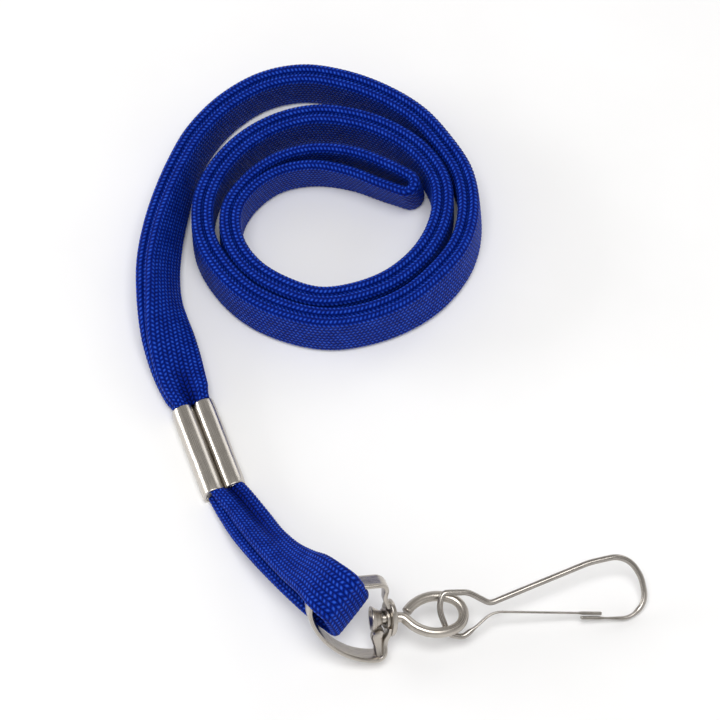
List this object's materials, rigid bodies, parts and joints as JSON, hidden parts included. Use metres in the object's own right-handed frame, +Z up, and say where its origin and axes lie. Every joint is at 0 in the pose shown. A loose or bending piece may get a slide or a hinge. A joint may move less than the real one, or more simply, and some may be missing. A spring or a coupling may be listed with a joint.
{
  "type": "lanyard badge holder",
  "caption": "Neck lanyard that holds a badge: a flat braided strap in a metal crimp, with a swivelling stirrup, an eye and a spring wire hook that clips through the badge's slot.",
  "frame": {"origin": "middle of the footprint, on the surface that the lanyard lies on", "axes": "+Z up from the surface, +Y from the hook's end towards the far side of the coiled strap, +X towards the hook's tip"},
  "size_m": [0.0943, 0.1279, 0.0197],
  "materials": {
    "braid": "royal blue polyester, flat tubular braid",
    "crimp_plate": "nickel plated, drawn lengthwise",
    "swivel_plate": "nickel plated, satin",
    "wire_plate": "nickel plated spring wire"
  },
  "bodies": {
    "strap": {"neck_strap": "braid", "crimp_sleeve": "crimp_plate", "stirrup_loop": "braid"},
    "stirrup": {"stirrup": "swivel_plate"},
    "eye": {"swivel_eye": "swivel_plate"},
    "hook": {"hook_wire": "wire_plate"},
    "latch": {"latch_arm": "wire_plate"}
  },
  "joints": [
    {"name": "stirrup_swing", "type": "hinge", "parent": "strap", "child": "stirrup", "pos_m": [-0.0103, -0.0543, 0.01345], "axis": [0.8638, 0.3979, 0.3089], "range_deg": [-28, 6]},
    {"name": "swivel_spin", "type": "hinge", "parent": "stirrup", "child": "eye", "pos_m": [0.0002, -0.0563, 0.00755], "axis": [0.9829, 0.1381, -0.1219], "continuous": true},
    {"name": "hook_turn", "type": "hinge", "parent": "eye", "child": "hook", "pos_m": [0.0002, -0.0563, 0.00755], "axis": [0.9829, 0.1381, -0.1219], "range_deg": [0, 118]},
    {"name": "latch_flex", "type": "hinge", "parent": "hook", "child": "latch", "pos_m": [0.0206, -0.05373, 0.00483], "axis": [0.177, -0.5251, 0.8324], "range_deg": [0, 12], "stiffness_Nm_per_rad": 0.001}
  ]
}
